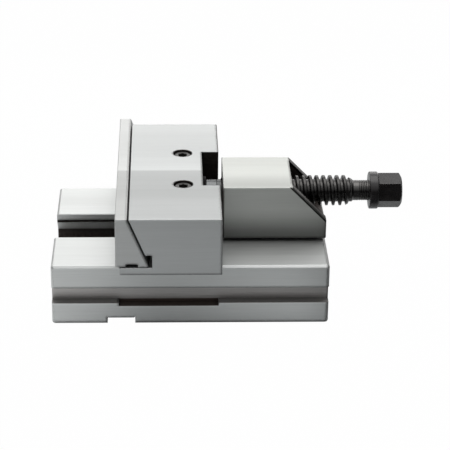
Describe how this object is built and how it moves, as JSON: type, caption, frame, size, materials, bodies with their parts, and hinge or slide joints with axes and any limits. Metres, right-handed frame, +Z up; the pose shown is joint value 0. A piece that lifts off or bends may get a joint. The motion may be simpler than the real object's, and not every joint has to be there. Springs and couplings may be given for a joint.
{
  "type": "modular vise",
  "caption": "Moving-jaw unit of a modular machine vise: a ground slideway base carries a pull-down jaw, driven through a nut block by a trapezoidal spindle with a hexagon drive.",
  "frame": {"origin": "middle of the base's underside", "axes": "+X along the slideway from the clamping face to the drive hexagon, +Y across it to the far side, +Z up"},
  "size_m": [0.2059, 0.15, 0.074],
  "materials": {
    "ground_steel": "fine ground",
    "plate_steel": "hardened and fine ground",
    "slider_steel": "milled",
    "black_oxide": "oiled black oxide",
    "screw_steel": "black oxide",
    "pin_steel": "ground bright",
    "spring_steel": "drawn wire"
  },
  "bodies": {
    "base_unit": {"base": "ground_steel", "support_block": "ground_steel", "support_key": "pin_steel", "support_key_screw_near": "screw_steel", "support_key_screw_far": "screw_steel"},
    "jaw_unit": {"jaw_body": "ground_steel", "guide_block": "slider_steel", "guide_screw_near": "screw_steel", "guide_screw_far": "screw_steel", "guide_dowel_near": "pin_steel", "guide_dowel_far": "pin_steel", "nose_pin_near": "pin_steel", "nose_pin_far": "pin_steel", "thrust_washer": "black_oxide", "plate_spring_near": "spring_steel", "plate_spring_far": "spring_steel"},
    "plate_unit": {"jaw_plate": "plate_steel", "plate_screw_near": "screw_steel", "plate_screw_far": "screw_steel", "plate_washer_near": "screw_steel", "plate_washer_far": "screw_steel"},
    "spindle_unit": {"spindle": "black_oxide"}
  },
  "joints": [
    {"name": "jaw_slide", "type": "slide", "parent": "base_unit", "child": "jaw_unit", "axis": [-1, 0, 0], "range_m": [-0.0015, 0.036]},
    {"name": "plate_float", "type": "slide", "parent": "jaw_unit", "child": "plate_unit", "axis": [1, 0, 0], "range_m": [0, 0.0005], "stiffness_N_per_m": 20000, "springref_m": -0.001},
    {"name": "spindle_spin", "type": "hinge", "parent": "jaw_unit", "child": "spindle_unit", "pos_m": [0.05, 0, 0.0596], "axis": [-1, 0, 0], "range_deg": [-140, 3250]}
  ],
  "couplings": [
    {"joint": "spindle_spin", "follows": "jaw_slide", "rad_per_m": 1570.8}
  ]
}
